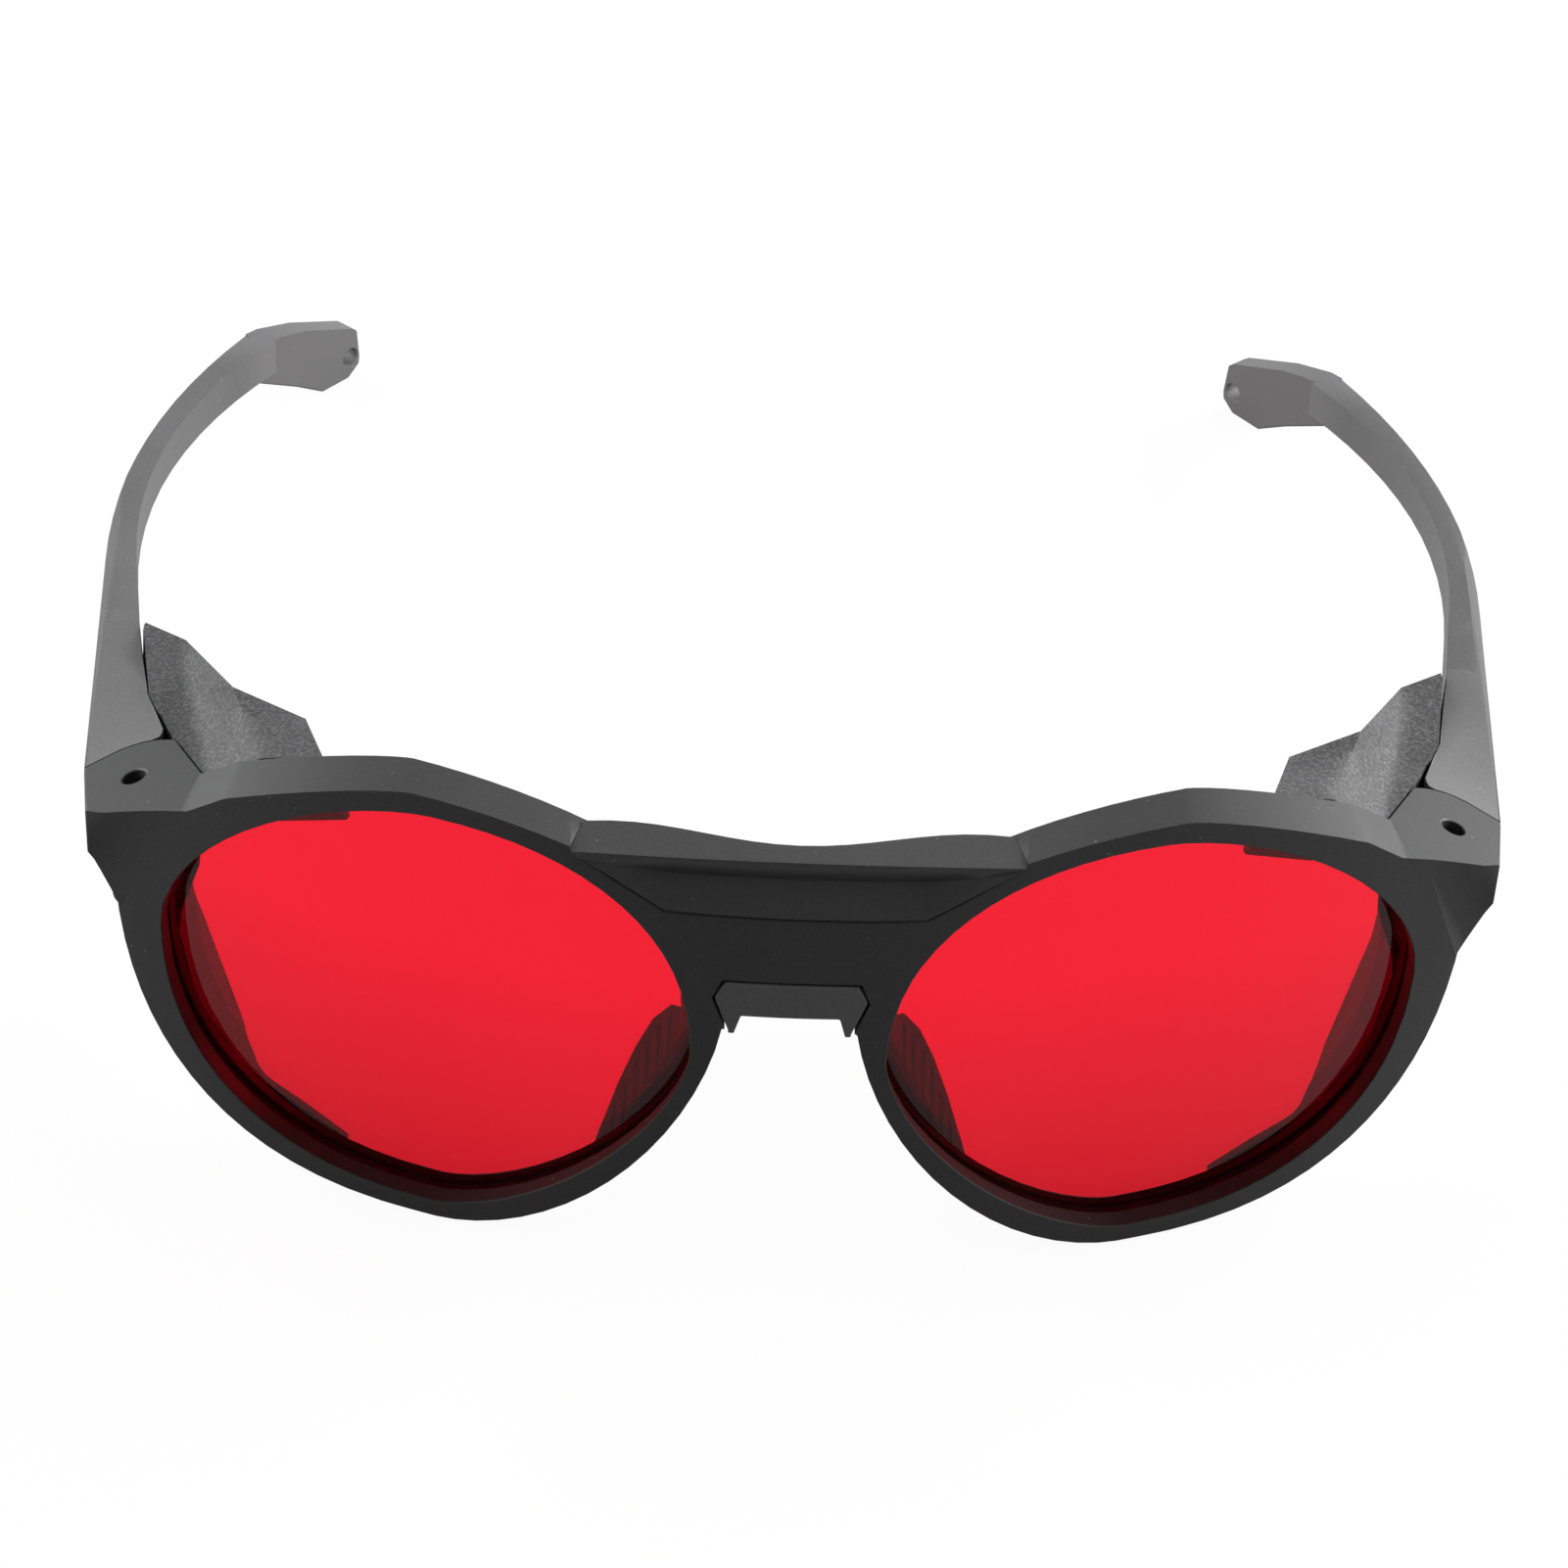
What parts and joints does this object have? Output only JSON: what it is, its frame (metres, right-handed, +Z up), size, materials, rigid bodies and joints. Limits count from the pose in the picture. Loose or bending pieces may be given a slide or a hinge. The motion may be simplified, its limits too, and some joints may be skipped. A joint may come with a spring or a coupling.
{
  "type": "laser safety glasses",
  "caption": "Wrap-round safety glasses with round tinted filter lenses, rubber nose pads, soft side shields and arms that fold inward.",
  "frame": {"origin": "middle of the footprint, on the surface that the rims' lower edges and both ear pieces rest on", "axes": "+X towards the wearer's left hand side as seen in front view to the right, +Y from the front to the ear pieces, +Z up"},
  "size_m": [0.1554, 0.1431, 0.0581],
  "materials": {
    "frame": "semi-matte moulded, fine grain",
    "arm": "semi-matte moulded, fine grain",
    "cover": "semi-matte moulded",
    "lens": "polished, red filter tint",
    "nose_rubber": "matte",
    "shield": "matte, soft",
    "screw": "blackened",
    "insert": "turned"
  },
  "bodies": {
    "front": {"front_frame": "frame", "lens_left": "lens", "lens_right": "lens", "bridge_cover": "cover", "nose_saddle": "nose_rubber", "nose_pad_left": "nose_rubber", "nose_pad_right": "nose_rubber", "side_shield_left": "shield", "side_shield_right": "shield", "hinge_screw_left": "screw", "hinge_screw_right": "screw", "hinge_insert_left": "insert", "hinge_insert_right": "insert"},
    "temple_left": {"temple_left": "arm"},
    "temple_right": {"temple_right": "arm"}
  },
  "joints": [
    {"name": "fold_left", "type": "hinge", "parent": "front", "child": "temple_left", "pos_m": [-0.0682, -0.04575, 0.03284], "axis": [0, -0.0754, -0.9972], "range_deg": [0, 85], "deforming": ["side_shield_left"]},
    {"name": "fold_right", "type": "hinge", "parent": "front", "child": "temple_right", "pos_m": [0.0682, -0.04575, 0.03284], "axis": [0, 0.0754, 0.9972], "range_deg": [0, 78], "deforming": ["side_shield_right"]}
  ]
}
